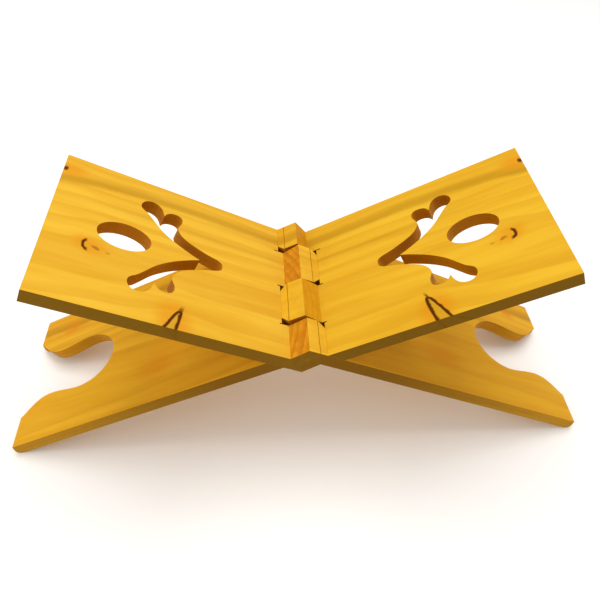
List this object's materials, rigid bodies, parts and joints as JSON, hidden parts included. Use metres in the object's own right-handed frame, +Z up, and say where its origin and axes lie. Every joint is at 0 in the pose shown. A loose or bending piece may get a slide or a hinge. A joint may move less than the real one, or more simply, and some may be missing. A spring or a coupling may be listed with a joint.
{
  "type": "bible stand",
  "caption": "Folding X-shaped book stand sawn from a plank: pierced book panels and arched legs that pass through each other at an integral wooden knuckle hinge.",
  "frame": {"origin": "on the surface the stand rests on, below the middle of the hinge axis, with the stand open at its stop", "axes": "+Z up, +Y along the hinge axis to the back of the stand, +X to the right, across both book panels"},
  "size_m": [0.5306, 0.145, 0.2242],
  "materials": {
    "pine_left": "clear satin varnish over warm yellow pine",
    "pine_right": "clear satin varnish over warm yellow pine"
  },
  "bodies": {
    "left_board": {"left_panel_board": "pine_left"},
    "right_board": {"right_panel_board": "pine_right"}
  },
  "joints": [
    {"name": "fold", "type": "hinge", "parent": "left_board", "child": "right_board", "pos_m": [0, 0, 0.13178], "axis": [0, -1, 0], "range_deg": [0, 125.6]}
  ]
}
